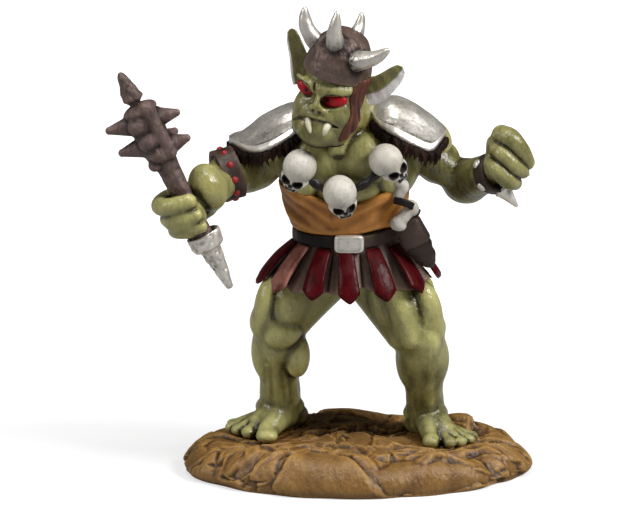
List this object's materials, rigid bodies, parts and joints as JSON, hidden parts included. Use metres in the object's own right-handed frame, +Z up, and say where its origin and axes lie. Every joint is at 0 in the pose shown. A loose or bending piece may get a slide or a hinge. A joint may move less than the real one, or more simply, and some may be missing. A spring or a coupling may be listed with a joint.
{
  "type": "painted figure",
  "caption": "Hand-painted moulded figure of a horned-helmet ogre warrior with a spiked mace, standing on an oval rocky base.",
  "frame": {"origin": "middle of the base's flat underside", "axes": "+Z up through the figure; the figure faces -Y; +X towards its left hand"},
  "size_m": [0.0846, 0.044, 0.0973],
  "materials": {
    "olive_skin": "semi-gloss hand paint with a dark wash",
    "earth": "matt paint, pale dry-brushed ridges",
    "dun_cloth": "matt paint with a dark wash",
    "crimson": "glossy paint",
    "ochre": "semi-gloss paint with a brown wash",
    "black_leather": "semi-gloss paint",
    "brown_leather": "semi-gloss paint",
    "bracelet_brown": "semi-gloss paint with red studs",
    "strap_brown": "semi-gloss paint",
    "silver_paint": "metallic paint with a dark wash",
    "iron_paint": "dark metallic paint",
    "helmet_paint": "brown-grey metallic paint",
    "fur_brown": "matt paint, pale dry-brushed tips",
    "ivory": "semi-gloss paint",
    "bone": "semi-gloss paint with a dark wash",
    "cord_black": "matt paint"
  },
  "bodies": {
    "root": {"right_leg": "olive_skin", "left_leg": "olive_skin", "torso": "olive_skin", "right_arm": "olive_skin", "left_arm": "olive_skin", "right_hand": "olive_skin", "left_hand": "olive_skin", "head": "olive_skin", "right_ear": "olive_skin", "left_ear": "olive_skin", "base": "earth", "under_skirt": "dun_cloth", "kilt_flap_01": "crimson", "kilt_flap_02": "crimson", "kilt_flap_03": "crimson", "kilt_flap_04": "crimson", "kilt_flap_05": "crimson", "kilt_flap_06": "crimson", "kilt_flap_07": "crimson", "kilt_flap_08": "crimson", "kilt_flap_09": "crimson", "kilt_flap_10": "crimson", "kilt_flap_11": "crimson", "waist_sash": "ochre", "belt": "black_leather", "pouch": "brown_leather", "bracer": "brown_leather", "bracelet": "bracelet_brown", "chin_strap": "strap_brown", "right_pauldron": "silver_paint", "left_pauldron": "silver_paint", "helmet_horn_front": "silver_paint", "helmet_horn_right": "silver_paint", "helmet_horn_left": "silver_paint", "helmet_horn_back": "silver_paint", "belt_buckle": "silver_paint", "bracer_spike_1": "silver_paint", "bracer_spike_2": "silver_paint", "mace_collar": "silver_paint", "mace_pommel": "silver_paint", "mace_shaft": "iron_paint", "mace_head": "iron_paint", "mace_finial": "iron_paint", "helmet": "helmet_paint", "right_fur_trim": "fur_brown", "left_fur_trim": "fur_brown", "right_fang": "ivory", "left_fang": "ivory", "skull_right": "bone", "skull_middle": "bone", "skull_left": "bone", "bone_upper": "bone", "bone_lower": "bone", "necklace_cord": "cord_black"}
  },
  "joints": []
}
